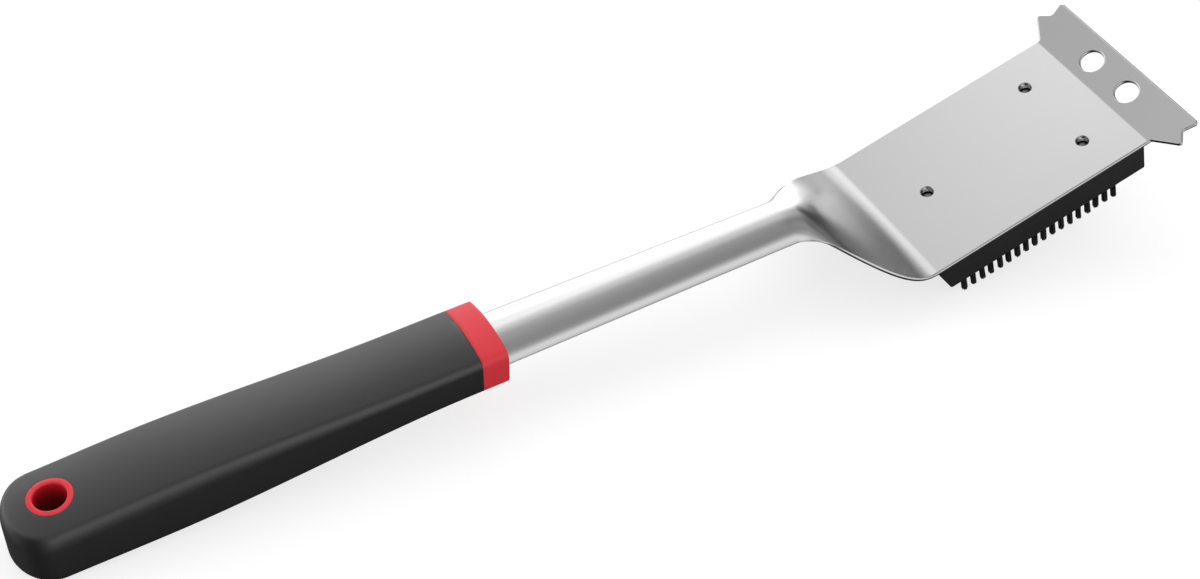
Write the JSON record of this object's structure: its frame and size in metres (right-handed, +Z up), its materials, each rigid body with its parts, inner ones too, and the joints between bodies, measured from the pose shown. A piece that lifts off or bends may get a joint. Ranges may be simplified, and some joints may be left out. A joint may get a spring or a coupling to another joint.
{
  "type": "grill cleaning brush",
  "caption": "Grill brush: a stamped sheet arm and plate with a notched scraper at the front, a bristle block beneath, and a straight grip with a hanging hole.",
  "frame": {"origin": "centre of the footprint of the box round the brush, on the table that it lies on", "axes": "+X from the handle's tail to the scraper, +Y across the brush to its left seen from the tail, +Z up from the table. It lies on its rear bristle tips and the underside of its tail, so the plate leans up towards the scraper."},
  "size_m": [0.4616, 0.0894, 0.0595],
  "materials": {
    "stainless": "satin stainless sheet, polished on the arm",
    "red_plastic": "fine satin",
    "black_grip": "matte soft-touch",
    "block_plastic": "matte",
    "nylon": "satin nylon",
    "steel": "plain steel"
  },
  "bodies": {
    "root": {"blade": "stainless", "handle_core": "red_plastic", "grip": "black_grip", "tang_pin_front": "steel", "tang_pin_back": "steel", "block": "block_plastic", "bristles": "nylon", "screw_near": "steel", "screw_far": "steel", "screw_rear": "steel"}
  },
  "joints": []
}
